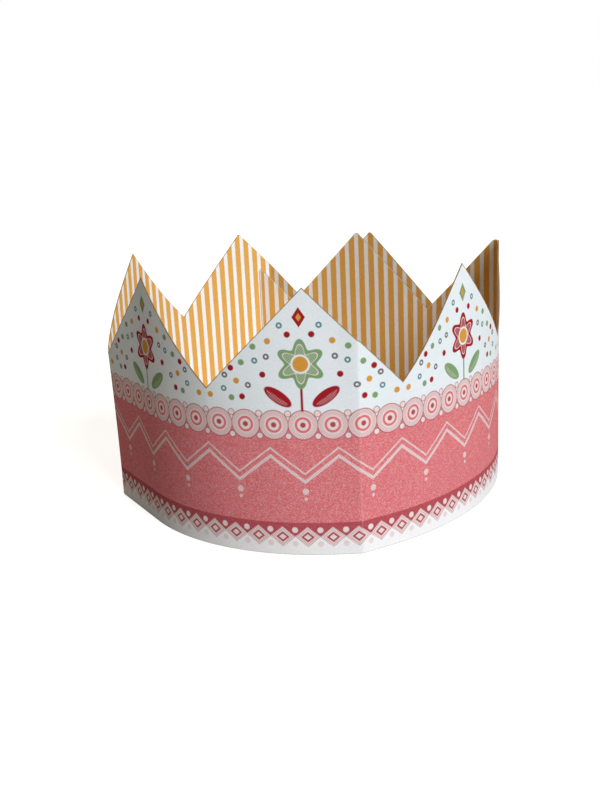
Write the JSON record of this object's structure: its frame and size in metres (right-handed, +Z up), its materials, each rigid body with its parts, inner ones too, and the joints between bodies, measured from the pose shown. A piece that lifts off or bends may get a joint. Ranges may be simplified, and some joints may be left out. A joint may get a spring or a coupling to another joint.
{
  "type": "paper crown",
  "caption": "Open ring of folded card with triangular points along its top edge, printed outside, striped inside, its ends overlapped along one side.",
  "frame": {"origin": "centre of the bounding box at the bottom edge that the crown rests on", "axes": "+Z up from the bottom edge towards the points, -Y towards the printed front, +X to the viewer's right"},
  "size_m": [0.1866, 0.1988, 0.11],
  "materials": {
    "printed_card": "matte printed card"
  },
  "bodies": {
    "root": {"crown_band": "printed_card"}
  },
  "joints": []
}
